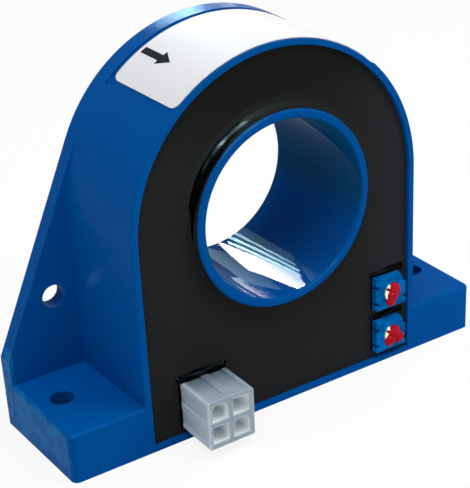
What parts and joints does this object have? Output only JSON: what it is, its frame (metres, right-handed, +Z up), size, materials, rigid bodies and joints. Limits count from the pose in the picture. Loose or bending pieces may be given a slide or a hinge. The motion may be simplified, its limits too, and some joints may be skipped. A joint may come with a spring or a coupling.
{
  "type": "hall effect current sensor",
  "caption": "Moulded, resin filled current sensor with a round through bore, mounting feet, a back plate, a keyed wire connector and screw trimmers.",
  "frame": {"origin": "centre of the base's underside, halfway along the base and halfway through the case's depth", "axes": "+Z up through the bore's middle; -Y is the resin face with the connector and trimmers, +Y the back plate; X runs along the base; the bore runs along Y"},
  "size_m": [0.089, 0.0321, 0.0683],
  "materials": {
    "case_plastic": "moulded satin",
    "label_film": "satin film",
    "potting_resin": "matt cast resin, glossy where it climbs the pieces",
    "core_steel": "strip wound",
    "chip_epoxy": "moulded",
    "tinned_metal": "tin plated",
    "board_laminate": "solder mask",
    "connector_nylon": "natural nylon",
    "tinned_brass": "tin plated",
    "trimmer_plastic": "moulded",
    "trimmer_brass": "stamped",
    "substrate_ceramic": "unglazed",
    "seal_lacquer": "glossy lacquer drop",
    "tantalum_epoxy": "moulded",
    "resistor_glaze": "glazed",
    "capacitor_ceramic": "fired"
  },
  "bodies": {
    "root": {"housing": "case_plastic", "rating_label": "label_film", "potting_resin": "potting_resin", "magnetic_core": "core_steel", "hall_element": "chip_epoxy", "hall_element_leads": "tinned_metal", "circuit_board": "board_laminate", "connector_shell": "connector_nylon", "connector_pins": "tinned_brass", "offset_trimmer_body": "trimmer_plastic", "offset_trimmer_rotor": "trimmer_brass", "offset_trimmer_wiper": "tinned_metal", "offset_trimmer_element": "substrate_ceramic", "offset_trimmer_pins": "tinned_metal", "offset_trimmer_seal": "seal_lacquer", "span_trimmer_body": "trimmer_plastic", "span_trimmer_rotor": "trimmer_brass", "span_trimmer_wiper": "tinned_metal", "span_trimmer_element": "substrate_ceramic", "span_trimmer_pins": "tinned_metal", "span_trimmer_seal": "seal_lacquer", "amplifier_chip": "chip_epoxy", "amplifier_leads": "tinned_metal", "voltage_regulators": "chip_epoxy", "tantalum_capacitors": "tantalum_epoxy", "supply_diodes": "chip_epoxy", "chip_resistors": "resistor_glaze", "chip_capacitors": "capacitor_ceramic"}
  },
  "joints": []
}
